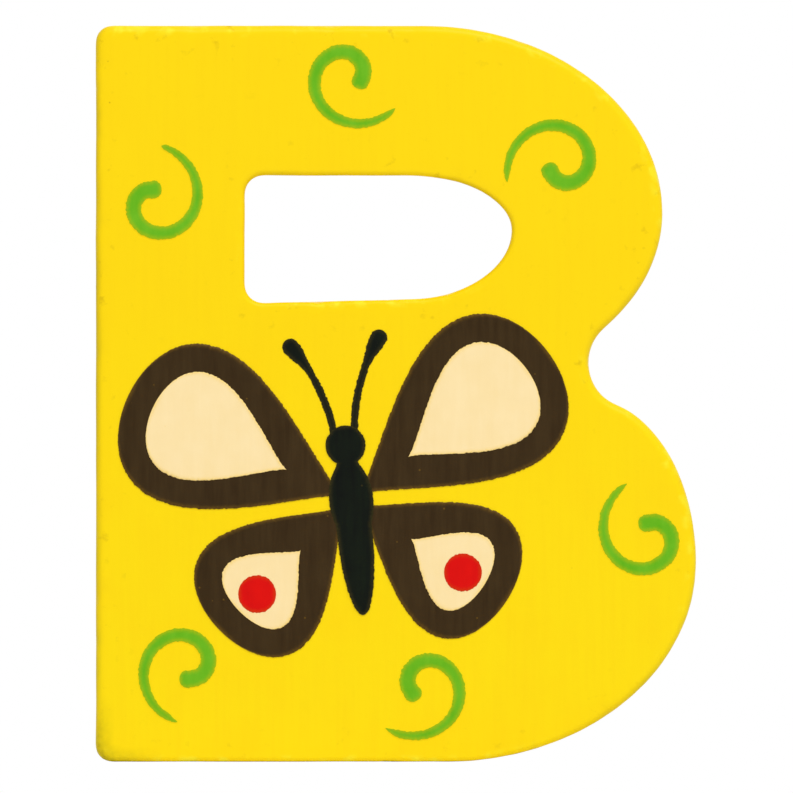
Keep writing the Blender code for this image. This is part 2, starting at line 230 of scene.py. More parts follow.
# Each curl: its node, its middle across and up from the stem's foot, the angle it starts at, its hand,
# and the length of its tail that comes to a point.
CURLS = (
    ("curl_top", 24.1 * MM, 65.3 * MM, -27.0, 1, 0.6 * MM),
    ("curl_stem", 5.5 * MM, 53.2 * MM, 91.0, 1, 0.3 * MM),
    ("curl_bowl", 44.3 * MM, 56.7 * MM, -154.0, 1, 0.9 * MM),
    ("curl_right", 52.7 * MM, 21.5 * MM, 105.0, -1, 0.9 * MM),
    ("curl_base_left", 8.8 * MM, 9.1 * MM, -92.0, 1, 0.9 * MM),
    ("curl_base_middle", 31.1 * MM, 7.3 * MM, -140.0, -1, 0.9 * MM),
)

# Butterfly: teardrop wings (length, width and angle) with patches, round a body that leans a little.
BUTTERFLY_ACROSS = 24.3 * MM
BUTTERFLY_UP = 24.9 * MM
BUTTERFLY_TILT = math.radians(6.0)
WING_ROOT_GAP = 0.8 * MM
WING_POINTING = 1.5
FORE_WING = (22.6 * MM, 15.6 * MM, math.radians(31.0))
HIND_WING = (16.8 * MM, 13.2 * MM, math.radians(-39.0))
PATCH_START = 6.0 * MM
WING_BORDER = 2.6 * MM
SPOT_DIAMETER = 3.6 * MM
BODY_TAIL = 11.0 * MM
BODY_WIDTH = 3.4 * MM
THORAX_LENGTH = 7.6 * MM
THORAX_WIDTH = 4.2 * MM
HEAD_LIFT = 5.2 * MM
HEAD_DIAMETER = 3.8 * MM
ANTENNA_LENGTH = 9.6 * MM
ANTENNA_SPREAD = math.radians(20.0)
ANTENNA_BEND = math.radians(32.0)
ANTENNA_STROKE = 0.7 * MM
ANTENNA_KNOB = 1.6 * MM

# Smallest amounts: points this near are one, no stroke is narrower, and nothing is divided by less.
WELD = 0.001 * MM
INK_WELD = 0.000001 * MM
TOUCHING_MM = 0.000001
INK_POINT = 0.01 * MM
INK_MIDDLE = 0.001
NEARLY_LEVEL = 1e-12

# Studio: a floor that passes into white away from the letter, one soft light and white surroundings.
FLOOR_REACH = 6.0
FLOOR_COLOUR = (0.92, 0.92, 0.92, 1.0)
FLOOR_ROUGHNESS = 0.9
FLOOR_GLOSS = 0.1
FLOOR_TURNS_WHITE = (0.06, 0.20)
WHITE = (1.0, 1.0, 1.0, 1.0)
KEY_POWER = 12.8
KEY_SIZE = 1.0
KEY_PLACE = (0.40, -0.80, 1.45)
KEY_AIM = (0.0, 0.0, 0.035)
AMBIENT = 0.66

# Picture: what the camera takes in, and where its middle lies.
PICTURE_WIDTH = 75.38 * MM
PICTURE_MIDDLE = (0.05 * MM, 34.73 * MM)
CAMERA_DISTANCE = 0.6
CAMERA_NEAR = 0.01
CAMERA_FAR = 20.0


def linear(*channels):
    """A display colour, 0 to 255, as the linear colour that a shader takes, less the sheen's white."""
    values = np.array(channels) / 255.0
    curve = np.where(values <= 0.04045, values / 12.92, ((values + 0.055) / 1.055) ** 2.4)
    return (*np.maximum(curve - SHEEN, DARKEST).tolist(), 1.0)


def feed(tree, socket, value):
    """Give a node's input a plain value, or run a wire to it."""
    if isinstance(value, Amount):
        value = value.socket
    if isinstance(value, bpy.types.NodeSocket):
        tree.links.new(value, socket)
    else:
        socket.default_value = value


def add_node(tree, kind, inputs=None, **settings):
    """A new node with its settings, and its inputs by name or number."""
    node = tree.nodes.new(kind)
    for name, value in settings.items():
        setattr(node, name, value)
    for name, value in (inputs or {}).items():
        feed(tree, node.inputs[name], value)
    return node


class Amount:
    """A number in a node tree; arithmetic on it adds the nodes that work it out."""

    def __init__(self, tree, socket):
        self.tree = tree
        self.socket = socket

    def work(self, operation, *others):
        """What a sum of this and the others comes to."""
        node = add_node(self.tree, "ShaderNodeMath", operation=operation)
        for socket, value in zip(node.inputs, (self, *others)):
            feed(self.tree, socket, value)
        return Amount(self.tree, node.outputs[0])

    def __add__(self, other):
        return self.work("ADD", other)

    def __sub__(self, other):
        return self.work("SUBTRACT", other)

    def __mul__(self, other):
        return self.work("MULTIPLY", other)

    def __truediv__(self, other):
        return self.work("DIVIDE", other)

    def __pow__(self, other):
        return self.work("POWER", other)

    def between(self, none, whole):
        """One value where this is 0, the other where it is 1, and evenly between them."""
        return self * (whole - none) + none

    def rest(self):
        """What is missing from one."""
        return self.between(1.0, 0.0)

    def within(self, low, high):
        """0 at low, 1 at high, evenly between them and level beyond."""
        node = add_node(self.tree, "ShaderNodeMapRange",
                        {"Value": self, "From Min": low, "From Max": high})
        return Amount(self.tree, node.outputs["Result"])


def vector_of(tree, **channels):
    """A vector from numbers for its X, Y and Z."""
    return add_node(tree, "ShaderNodeCombineXYZ", channels).outputs[0]


def vector_work(tree, operation, inputs, outcome="Vector"):
    """What a sum on vectors comes to."""
    return add_node(tree, "ShaderNodeVectorMath", inputs, operation=operation).outputs[outcome]


def cad_triangles(name):
    """A CAD node's points, with doubles merged, its triangles and their normals."""
    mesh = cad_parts[name].data
    mesh.calc_loop_triangles()
    points = np.array([vertex.co for vertex in mesh.vertices])
    triangles = np.array([triangle.vertices for triangle in mesh.loop_triangles])
    _, kept, merged = np.unique(np.round(points / WELD), axis=0, return_index=True, return_inverse=True)
    triangles = merged.ravel()[triangles]
    points = points[kept]
    a, b, c = (points[triangles[:, corner]] for corner in range(3))
    normals = np.cross(b - a, c - a)
    normals /= np.linalg.norm(normals, axis=1)[:, None]
    return points, triangles, normals


def loops_round(points, triangles):
    """The closed lines of points that bound a patch of triangles."""
    edges = np.sort(np.vstack((triangles[:, :2], triangles[:, 1:], triangles[:, ::2])), axis=1)
    edges, uses = np.unique(edges, axis=0, return_counts=True)
    neighbours = {}
    for first, last in edges[uses == 1].tolist():
        neighbours.setdefault(first, []).append(last)
        neighbours.setdefault(last, []).append(first)
    loops = []
    while neighbours:
        here, (step, _) = next(iter(neighbours.items()))
        loop = []
        while here in neighbours:
            ways = neighbours.pop(here)
            loop.append(here)
            here = step if len(loop) == 1 else next((way for way in ways if way in neighbours), None)
        loops.append(points[loop])
    return loops


def anticlockwise(loop):
    """A line of points in the upright plane, seen from the front, in anticlockwise order."""
    x, z = loop.T
    turning = np.sum(x * np.roll(z, -1) - z * np.roll(x, -1))
    return loop if turning > 0 else loop[::-1]


def drawn_evenly(loop):
    """A closed line with evenly spaced points, its facets eased into a smooth curve."""
    closed = np.vstack((loop, loop[:1]))
    lengths = np.concatenate(((0.0,), np.cumsum(np.linalg.norm(np.diff(closed, axis=0), axis=1))))
    total = int(round(lengths[-1] / OUTLINE_STEP))
    places = np.linspace(0.0, lengths[-1], total, endpoint=False)
    points = np.column_stack([np.interp(places, lengths, column) for column in closed.T])
    waves = np.fft.fftfreq(total, 1.0 / total)
    eased = np.exp(-0.5 * (2 * math.pi * waves * OUTLINE_SOFTENING / lengths[-1]) ** 2)
    smooth = np.fft.ifft(np.fft.fft(points[:, 0] + 1j * points[:, 1]) * eased * (2 - eased))
    return np.column_stack((smooth.real, smooth.imag))


def board_loops():
    """The board's outer edge and its opening, where the straight walls meet the front round-over."""
    points, triangles, normals = cad_triangles("letter_board")
    middle = (points[:, 1].min() + points[:, 1].max()) / 2
    walls = triangles[np.abs(normals[:, 1]) < WALL_TILT]
    loops = [loop for loop in loops_round(points, walls) if loop[:, 1].mean() < middle]
    loops = [anticlockwise(loop[:, (0, 2)]) for loop in loops]
    loops.sort(key=lambda loop: -np.ptp(loop[:, 0]))
    return [drawn_evenly(loop) for loop in loops]


def unevenness(total, rng):
    """A smooth wander along the points of a closed edge, between -1 and 1."""
    places = np.linspace(0.0, 2 * math.pi, total, endpoint=False)
    wander = np.zeros(total)
    for wave in range(2, int(total * OUTLINE_STEP / SHORTEST_WAVE)):
        wander += rng.normal() / math.sqrt(wave) * np.sin(wave * places + rng.uniform(0, 2 * math.pi))
    return wander / np.abs(wander).max()


# One ring of points across an edge: its inset from the outline, its depth in the board, how far it is
# turned to the front or back, and how far it lies past the rim of its face, along the surface.
Ring = namedtuple("Ring", "inset depth turn run")


def rings_across(front, back, front_round, back_round, bow):
    """The rings across an edge, from the front face over the wall to the back face."""
    turns = np.linspace(math.pi / 2, 0.0, ROUND_STEPS + 1)
    wall = back - back_round - front - front_round
    rings = []
    for turn in turns:
        inset = front_round * (1 - math.cos(turn))
        depth = front + front_round * (1 - math.sin(turn))
        rings.append(Ring(inset, depth, -turn, EDGE_ROUND * (math.pi / 2 - turn)))
    for share in np.linspace(0.0, 1.0, WALL_STEPS + 2)[1:-1]:
        inset = bow * math.sin(math.pi * share)
        depth = front + front_round + wall * share
        rings.append(Ring(inset, depth, 0.0, EDGE_ROUND * math.pi / 2 + wall * min(share, 1 - share)))
    for turn in turns[::-1]:
        inset = back_round * (1 - math.cos(turn))
        depth = back - back_round * (1 - math.sin(turn))
        rings.append(Ring(inset, depth, turn, EDGE_ROUND * (math.pi / 2 - turn)))
    return rings


def grime_and_shade_round(outward, height, ring_count):
    """How much grime and painted shade each stretch of an edge takes, ring by ring, less and less towards
    the back.
    """
    leftward, downward = np.maximum(-outward, 0.0).T
    upward = np.maximum(outward[:, 1], 0.0)
    # Painted shade: more on edges facing left and down, less on edges facing up.
    facing = SHADE_FACING_LEFT * leftward + SHADE_FACING_DOWN * downward + SHADE_FACING_UP * upward
    low, high = PLAIN_FOOT
    above_foot = np.clip((height - low) / (high - low), 0.0, 1.0)
    amount = np.clip(GRIME_ANYWHERE + facing, 0.0, 1.0) * above_foot
    return np.outer(np.linspace(1.0, GRIME_AND_SHADE_AT_BACK, ring_count), amount)


def edge_rings(loop, is_opening, front, back, rng):
    """Rings of points round one edge of the board.

    Returns the points, the way each faces, how far it lies past its face's rim, and the grime and painted
    shade it takes.
    """
    along = np.roll(loop, -1, axis=0) - np.roll(loop, 1, axis=0)
    along /= np.linalg.norm(along, axis=1)[:, None]
    outward = np.column_stack((along[:, 1], -along[:, 0])) * (-1 if is_opening else 1)
    plan_wave, front_wave, back_wave, wall_wave = (unevenness(len(loop), rng) for _ in range(4))
    plan = loop - outward * (OUTLINE_WANDER * (1 + plan_wave) / 2)[:, None]
    downward = np.maximum(-outward[:, 1], 0.0) ** BASE_TURN
    edge_round = OPENING_ROUND if is_opening else EDGE_ROUND + (BASE_ROUND - EDGE_ROUND) * downward
    front_round = edge_round * (1 + ROUND_UNEVENNESS * front_wave)
    back_round = edge_round * (1 + ROUND_UNEVENNESS * back_wave)
    bow = WALL_WANDER * (1 + wall_wave) / 2
    rings = rings_across(front, back, front_round, back_round, bow)
    points = []
    facing = []
    for ring in rings:
        place = plan - outward * ring.inset[:, None]
        points.append(np.column_stack((place[:, 0], ring.depth, place[:, 1])))
        sideways = outward * math.cos(ring.turn)
        depthways = np.full(len(loop), math.sin(ring.turn))
        facing.append(np.column_stack((sideways[:, 0], depthways, sideways[:, 1])))
    runs = np.array([np.broadcast_to(ring.run, len(loop)) for ring in rings])
    return np.array(points), np.array(facing), runs, grime_and_shade_round(outward, loop[:, 1], len(rings))


def press_dents(points, facing, total, rings, rng):
    """Small dents from handling, pressed into the rings of an edge."""
    for _ in range(total):
        middle = points[rng.choice(rings), rng.integers(points.shape[1])]
        spread = rng.uniform(*DENT_SIZES)
        away = np.sum((points - middle) ** 2, axis=2)
        points -= facing * (rng.uniform(*DENT_DEPTHS) * np.exp(-away / (2 * spread ** 2)))[..., None]


def inside(points, loop):
    """Which points lie inside a closed line."""
    x, z = points[:, 0, None], points[:, 1, None]
    x0, z0 = loop.T
    x1, z1 = np.roll(loop, -1, axis=0).T
    climb = z1 - z0
    climb[climb == 0] = NEARLY_LEVEL
    crossings = ((z0 > z) != (z1 > z)) & (x < (x1 - x0) * (z - z0) / climb + x0)
    return crossings.sum(axis=1) % 2 == 1


def nearest(points, others):
    """How far each point is from the nearest of the others."""
    return np.array([np.sqrt(np.min(np.sum((others - point) ** 2, axis=1))) for point in points])


def face_mesh(outer, opening, rng):
    """Points and triangles that fill the face between the outer edge and the opening."""
    low = outer.min(axis=0)
    high = outer.max(axis=0)
    across, up = (np.arange(a + FACE_STEP / 2, b, FACE_STEP) for a, b in zip(low, high))
    grid = np.array(np.meshgrid(across, up)).reshape(2, -1).T
    grid += rng.uniform(-FACE_JITTER, FACE_JITTER, grid.shape) * FACE_STEP
    grid = grid[inside(grid, outer) & ~inside(grid, opening)]
    edge = np.vstack((outer, opening))
    inset = nearest(grid, edge)
    grid = grid[inset > FACE_STEP / 2]
    inset = inset[inset > FACE_STEP / 2]
    points = np.vstack((edge, grid))
    lines = [(i, (i + 1) % len(outer)) for i in range(len(outer))]
    lines += [(len(outer) + i, len(outer) + (i + 1) % len(opening)) for i in range(len(opening))]
    coordinates = [Vector(point) for point in points / MM]
    _, _, faces, sources, _, _ = delaunay_2d_cdt(coordinates, lines, [], 0, TOUCHING_MM)
    triangles = np.array([[sources[corner][0] for corner in face] for face in faces])
    centres = points[triangles].mean(axis=1)
    kept = inside(centres, outer) & ~inside(centres, opening)
    return grid, inset, triangles[kept]


def board_edges(front, back, rng):
    """The outer edge and the opening's edge, each as rings of points with small dents."""
    edges = []
    for loop, is_opening in zip(board_loops(), (False, True)):
        points, facing, runs, edge_grime_and_shade = edge_rings(loop, is_opening, front, back, rng)
        share = len(loop) * OUTLINE_STEP / DENT_STRETCH
        last = len(points)
        for total, first, end in (
            (FRONT_DENT_COUNT, DENT_FREE_RINGS, ROUND_STEPS),
            (WALL_DENT_COUNT, ROUND_STEPS + DENT_FREE_RINGS, last - ROUND_STEPS - DENT_FREE_RINGS),
            (BACK_DENT_COUNT, last - ROUND_STEPS, last - DENT_FREE_RINGS),
        ):
            press_dents(points, facing, int(total * share), range(first, end), rng)
        edges.append((points, runs, edge_grime_and_shade, is_opening))
    return edges


def keep_on_mesh(mesh, name, values):
    """Keep a number for each point of a mesh."""
    attribute = mesh.attributes.new(name, "FLOAT", "POINT")
    attribute.data.foreach_set("value", np.asarray(values, np.float32))


def board_mesh():
    """The whole board: both faces, the round-overs and the walls, in one closed mesh."""
    rng = np.random.default_rng(SEED)
    low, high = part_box("letter_board")
    edges = board_edges(low.y, high.y, rng)
    vertices = []
    edge_runs = []
    edge_grime_and_shade_lists = []
    quads = []
    numbers = []
    total = 0
    for points, runs, edge_grime_and_shade, is_opening in edges:
        number = total + np.arange(points[..., 0].size).reshape(points.shape[:2])
        onward = np.roll(number, -1, axis=1)
        sheet = np.stack((number[:-1], number[1:], onward[1:], onward[:-1]), axis=2).reshape(-1, 4)
        quads.append(sheet[:, ::-1] if is_opening else sheet)
        vertices.append(points.reshape(-1, 3))
        edge_runs.append(runs.ravel())
        edge_grime_and_shade_lists.append(edge_grime_and_shade.ravel())
        numbers.append(number)
        total += number.size
    triangles = []
    for ring, depth, order in ((0, low.y, 1), (-1, high.y, -1)):
        outlines = [points[ring][:, (0, 2)] for points, *_ in edges]
        grid, inset, filled = face_mesh(*outlines, rng)
        corners = np.concatenate((*(number[ring] for number in numbers), total + np.arange(len(grid))))
        triangles.append(corners[filled][:, ::order])
        vertices.append(np.column_stack((grid[:, 0], np.full(len(grid), depth), grid[:, 1])))
        edge_runs.append(-inset)
        edge_grime_and_shade_lists.append(np.zeros(len(grid)))
        total += len(grid)
    mesh = bpy.data.meshes.new("painted_board")
    faces = np.vstack(quads).tolist() + np.vstack(triangles).tolist()
    mesh.from_pydata(np.vstack(vertices).tolist(), [], faces)
    keep_on_mesh(mesh, "edge_run", np.concatenate(edge_runs) / MM)
    keep_on_mesh(mesh, "edge_grime_and_shade", np.concatenate(edge_grime_and_shade_lists))
    mesh.shade_smooth()
    return mesh


def new_tree(name, numbers):
    """A geometry tree with named number inputs and an ink; returns it, its entry and its inputs."""
    tree = bpy.data.node_groups.new(name, "GeometryNodeTree")
    tree.interface.new_socket("Geometry", in_out="INPUT", socket_type="NodeSocketGeometry")
    for label in numbers:
        tree.interface.new_socket(label, in_out="INPUT", socket_type="NodeSocketFloat")
    tree.interface.new_socket("Ink", in_out="INPUT", socket_type="NodeSocketMaterial")
    tree.interface.new_socket("Geometry", in_out="OUTPUT", socket_type="NodeSocketGeometry")
    entry = add_node(tree, "NodeGroupInput")
    sizes = {label: Amount(tree, entry.outputs[label]) for label in numbers}
    return tree, entry, sizes


def close_tree(tree, geometry, ink):
    """Make the shape real, ink it and hand it out."""
    real = add_node(tree, "GeometryNodeRealizeInstances", {"Geometry": geometry})
    inked = add_node(tree, "GeometryNodeSetMaterial", {"Geometry": real.outputs[0], "Material": ink})
    add_node(tree, "NodeGroupOutput", {"Geometry": inked.outputs[0]})


def keep_value(tree, geometry, name, value, kind="FLOAT"):
    """Keep a number or a vector for each point of a shape."""
    node = add_node(tree, "GeometryNodeStoreNamedAttribute",
                    {"Geometry": geometry, "Name": name, "Value": value}, data_type=kind, domain="POINT")
    return node.outputs[0]


def kept_value(tree, name, kind="FLOAT"):
    """What was kept for each point."""
    node = add_node(tree, "GeometryNodeInputNamedAttribute", {"Name": name}, data_type=kind)
    return node.outputs["Attribute"]


def kept_number(tree, name):
    """A number that was kept for each point."""
    return Amount(tree, kept_value(tree, name))


def move_points(tree, geometry, **way):
    """A shape with its points at a new Position, or moved by an Offset."""
    return add_node(tree, "GeometryNodeSetPosition", {"Geometry": geometry, **way}).outputs[0]


def flat_strip(tree):
    """A line across a stroke from -1 to 1, its points closer together towards the edges."""
    line = add_node(tree, "GeometryNodeCurvePrimitiveLine",
                    {"Start": (-1.0, 0.0, 0.0), "End": (1.0, 0.0, 0.0)})
    line = add_node(tree, "GeometryNodeResampleCurve",
                    {"Curve": line.outputs[0], "Count": ACROSS_COUNT}, mode="COUNT")
    place = add_node(tree, "GeometryNodeInputPosition")
    even = Amount(tree, add_node(tree, "ShaderNodeSeparateXYZ", {0: place.outputs[0]}).outputs["X"])
    strip = keep_value(tree, line.outputs[0], "across", (even * (math.pi / 2)).work("SINE"))
    return move_points(tree, strip, Position=vector_of(tree, X=kept_number(tree, "across")))


def ragged_shift(tree, size, place, across, half_width):
    """How far each point of a film moves in or out from its path, in step with the edge on its side."""
    middle = kept_value(tree, "middle", "FLOAT_VECTOR")
    reach = vector_work(tree, "SUBTRACT", {0: place, 1: middle})
    to_edge = across.work("MAXIMUM", INK_MIDDLE) ** -1.0
    whole_reach = vector_work(tree, "SCALE", {0: reach, "Scale": to_edge})
    edge = vector_work(tree, "ADD", {0: middle, 1: whole_reach})
    texture = add_node(tree, "ShaderNodeTexNoise",
                       {"Vector": edge, "W": size["Seed"], "Scale": size["Ragged pitch"] ** -1.0,
                        "Detail": RAGGED_DETAIL}, noise_dimensions="4D")
    swing = (Amount(tree, texture.outputs["Fac"]) - 0.5) * 2.0
    swayed = swing * size["Raggedness"] * half_width.within(0.0, RAGGED_WIDTH) / half_width
    return vector_work(tree, "SCALE", {0: reach, "Scale": swayed})


def closed_film(tree, sheet, height):
    """A flat sheet raised to a closed film."""
    raised = add_node(tree, "GeometryNodeExtrudeMesh",
                      {"Mesh": sheet, "Offset": vector_of(tree, Z=height), "Individual": False})
    under = add_node(tree, "GeometryNodeFlipFaces", {"Mesh": sheet})
    both = add_node(tree, "GeometryNodeJoinGeometry", {"Geometry": raised.outputs["Mesh"]})
    tree.links.new(under.outputs[0], both.inputs["Geometry"])
    welded = add_node(tree, "GeometryNodeMergeByDistance",
                      {"Geometry": both.outputs[0], "Distance": INK_WELD})
    return welded.outputs[0]


def film_tree():
    """A path with half widths made into a thin film of ink, ragged at its edges, standing on the board."""
    tree, entry, size = new_tree("Ink film", FILM_LABELS)
    place = add_node(tree, "GeometryNodeInputPosition").outputs[0]
    path = keep_value(tree, entry.outputs["Geometry"], "middle", place, "FLOAT_VECTOR")
    line = add_node(tree, "GeometryNodeMeshToCurve", {"Mesh": path})
    flat = add_node(tree, "GeometryNodeSetCurveNormal", {"Curve": line.outputs[0]}, mode="Z_UP")
    half_width = kept_number(tree, "half_width").work("MAXIMUM", INK_POINT)
    swept = add_node(tree, "GeometryNodeCurveToMesh",
                     {"Curve": flat.outputs[0], "Profile Curve": flat_strip(tree), "Scale": half_width})
    across = kept_number(tree, "across").work("ABSOLUTE")
    edge = (across.rest() * half_width).work("MINIMUM", kept_number(tree, "end_gap")) * (1.0 / MM)
    edged = keep_value(tree, swept.outputs[0], "ink_edge", edge)
    ragged = move_points(tree, edged, Offset=ragged_shift(tree, size, place, across, half_width))
    whole = closed_film(tree, ragged, size["Foot"] + size["Height"])
    spot = vector_of(tree, X=size["Across"], Y=size["Up"], Z=size["Foot"] * -1.0)
    placed = add_node(tree, "GeometryNodeTransform",
                      {"Geometry": whole, "Translation": spot, "Rotation": vector_of(tree, Z=size["Turn"])})
    upright = add_node(tree, "GeometryNodeTransform",
                       {"Geometry": placed.outputs[0], "Translation": vector_of(tree, Y=size["Face"]),
                        "Rotation": (math.pi / 2, 0.0, 0.0)})
    close_tree(tree, upright.outputs[0], entry.outputs["Ink"])
    return tree


def add_film(tree, entry, size, path, film):
    """The ink film node inside a tree that draws its own path."""
    node = add_node(tree, "GeometryNodeGroup", node_tree=film)
    feed(tree, node.inputs["Geometry"], path)
    for label in FILM_LABELS:
        feed(tree, node.inputs[label], size[label])
    feed(tree, node.inputs["Ink"], entry.outputs["Ink"])
    close_tree(tree, node.outputs[0], entry.outputs["Ink"])


def counted_path(tree, total):
    """A line of points, and how far along it each lies, closer together towards its round start."""
    line = add_node(tree, "GeometryNodeMeshLine", {"Count": total})
    number = Amount(tree, add_node(tree, "GeometryNodeInputIndex").outputs[0])
    turn = (number + PATH_LEAD) * (math.pi / 2) / (total + (PATH_LEAD - 1.0))
    return line.outputs[0], turn.work("COSINE").work("MAXIMUM", 0.0).rest()


def drawn_path(tree, line, x, y, half_width, end_gap):
    """The line moved onto the curve of x and y, knowing its half width and how near its ends are."""
    known = keep_value(tree, keep_value(tree, line, "half_width", half_width), "end_gap", end_gap)
    return move_points(tree, known, Position=vector_of(tree, X=x, Y=y))


def curl_tree(film):
    """A tapered spiral stroke that runs straight at its thick inner end."""
    labels = (*CURL, "Start angle", "Hand", "Tip reach")
    tree, entry, size = new_tree("Tapered curl", labels + FILM_LABELS)
    line, along = counted_path(tree, size["Count"])
    bend_radius = size["Eye radius"] + size["Growth"] * size["Bend share"] ** size["Opening"]
    first = size["Bend share"] - size["Straight"] / (bend_radius * size["Sweep"])
    share = first + along * first.rest()
    opened = share.work("MAXIMUM", size["Bend share"])
    turn = size["Hand"] * size["Sweep"]
    angle = size["Start angle"] + turn * opened
    radius = size["Eye radius"] + size["Growth"] * opened ** size["Opening"]
    growth = size["Growth"] * size["Opening"] * opened ** (size["Opening"] - 1.0)
    cosine = angle.work("COSINE")
    sine = angle.work("SINE")
    run_x = growth * cosine - radius * turn * sine
    run_y = growth * sine + radius * turn * cosine
    speed = (run_x * run_x + run_y * run_y).work("SQRT")
    x = radius * cosine + (share - opened) * run_x
    y = radius * sine + (share - opened) * run_y
    thinning = share.work("MAXIMUM", 0.0).rest() ** size["Taper"]
    width = size["Tip"] + (size["Stroke"] - size["Tip"]) * thinning
    from_start = (share - first) * speed
    from_tip = share.rest() * speed
    into_start = (from_start / size["Blunt depth"]).within(0.0, 1.0)
    blunt = (into_start.rest() ** CURL_BLUNTNESS).rest() ** (1 / CURL_BLUNTNESS)
    pointed = (from_tip / size["Tip reach"]).within(0.0, 1.0) ** CURL_TIP_POINTING
    half_width = width * 0.5 * blunt * pointed
    path = drawn_path(tree, line, x, y, half_width, from_start.work("MINIMUM", from_tip))
    add_film(tree, entry, size, path, film)
    return tree


def wing_tree(film):
    """A teardrop along its own axis, out to either side from its root, or an oval with no pointing."""
    labels = ("Count", "Mirror", "Start", "Length", "Width", "Pointing")
    tree, entry, size = new_tree("Teardrop wing", labels + FILM_LABELS)
    line, along = counted_path(tree, size["Count"])
    share = along.rest()
    point = size["Pointing"]
    swell = (share * along) ** 0.5 * share ** (point * 0.5) * 2.0
    lean = point / (point + 2.0)
    widest = (lean * lean).rest() ** 0.5 * ((point + 1.0) / (point + 2.0)) ** (point * 0.5)
    reach = size["Length"] * share
    half_width = size["Width"] * 0.5 * swell / widest
    path = drawn_path(tree, line, (size["Start"] + reach) * size["Mirror"], 0.0, half_width,
                      reach.work("MINIMUM", size["Length"] - reach))
    add_film(tree, entry, size, path, film)
    return tree


def stroke_mesh(name, path, half_widths):
    """A line of points that know their half width and how near the ends are, for the film tree to ink."""
    mesh = bpy.data.meshes.new(name)
    points = np.column_stack((path, np.zeros(len(path))))
    mesh.from_pydata(points.tolist(), [(i, i + 1) for i in range(len(path) - 1)], [])
    along = np.concatenate(((0.0,), np.cumsum(np.linalg.norm(np.diff(path, axis=0), axis=1))))
    keep_on_mesh(mesh, "half_width", half_widths)
    keep_on_mesh(mesh, "end_gap", np.minimum(along, along[-1] - along))
    return mesh


def printed(name, tree, ink, values, stroke=None):
    """One printed piece: the tree worked out with its values and kept as a plain mesh."""
    piece = bpy.data.objects.new(name, stroke or bpy.data.meshes.new(name))
    bpy.context.scene.collection.objects.link(piece)
    modifier = piece.modifiers.new("print", "NODES")
    modifier.node_group = tree
    for item in tree.interface.items_tree:
        if item.in_out == "INPUT" and item.name in values:
            modifier[item.identifier] = float(values[item.name])
        if item.in_out == "INPUT" and item.name == "Ink":
            modifier[item.identifier] = ink
    bpy.context.view_layer.update()
    graph = bpy.context.evaluated_depsgraph_get()
    made = bpy.data.meshes.new_from_object(piece.evaluated_get(graph), depsgraph=graph)
    piece.modifiers.clear()
    piece.data = made
    return piece


def settle(piece, node):
    """Let a finished piece ride with the letter and stand for its CAD node."""
    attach(piece, "root")
    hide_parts(node)


def new_finish(name, specular):
    """A new paint or ink; returns it with its tree, its shader and its own coordinates."""
    material = bpy.data.materials.new(name)
    material.use_nodes = True
    tree = material.node_tree
    shader = tree.nodes["Principled BSDF"]
    shader.inputs["Metallic"].default_value = 0.0
    shader.inputs["Specular IOR Level"].default_value = specular
    coordinates = add_node(tree, "ShaderNodeTexCoord").outputs["Object"]
    return material, tree, shader, coordinates


def surface_number(tree, name):
    """A number that the mesh keeps for each of its points."""
    return Amount(tree, add_node(tree, "ShaderNodeAttribute", attribute_name=name).outputs["Fac"])


def clouds(tree, coordinates, size, detail, upward_stretch=1.0):
    """Cloudy variation of about the given size in metres, longer upwards where it is stretched."""
    scale = (1.0 / size, 1.0 / size, 1.0 / (size * upward_stretch))
    scaled = add_node(tree, "ShaderNodeMapping", {"Vector": coordinates, "Scale": scale})
    texture = add_node(tree, "ShaderNodeTexNoise",
                       {"Vector": scaled.outputs[0], "Scale": 1.0, "Detail": detail})
    return Amount(tree, texture.outputs["Fac"])


def shown_clouds(tree, coordinates, layer):
    """The clouds of a layer, as far as they show."""
    return clouds(tree, coordinates, layer.size, layer.detail).within(*layer.shown)


def specks(tree, coordinates, pitch, radius, share):
    """Small round specks of unlike sizes: about one for each pitch every way, and a share of them kept."""
    texture = add_node(tree, "ShaderNodeTexVoronoi", {"Vector": coordinates, "Scale": 1.0 / pitch})
    channels = add_node(tree, "ShaderNodeSeparateColor", {"Color": texture.outputs["Color"]})
    chosen = Amount(tree, channels.outputs[0]).work("LESS_THAN", share)
    largest = radius / pitch
    grown = Amount(tree, channels.outputs[1]).between(largest * SMALLEST_SPECK, largest)
    near = (Amount(tree, texture.outputs["Distance"]) / grown).within(*SPECK_EDGE)
    return near * chosen


def blend(tree, amount, first, second):
    """One colour passing into another; the node's sockets for colours come after those for numbers."""
    node = add_node(tree, "ShaderNodeMix", data_type="RGBA")
    factor, _, _, _, _, _, from_colour, to_colour = list(node.inputs)[:8]
    feed(tree, factor, amount)
    feed(tree, from_colour, first)
    feed(tree, to_colour, second)
    return node.outputs[2]


def surface(tree, shader, colour, rough, relief):
    """Wire up a finish: its colour, its roughness, and relief too fine to model, given in millimetres."""
    bump = add_node(tree, "ShaderNodeBump", {"Height": relief, "Strength": 1.0, "Distance": MM})
    feed(tree, shader.inputs["Base Color"], colour)
    feed(tree, shader.inputs["Roughness"], rough)
    feed(tree, shader.inputs["Normal"], bump.outputs[0])


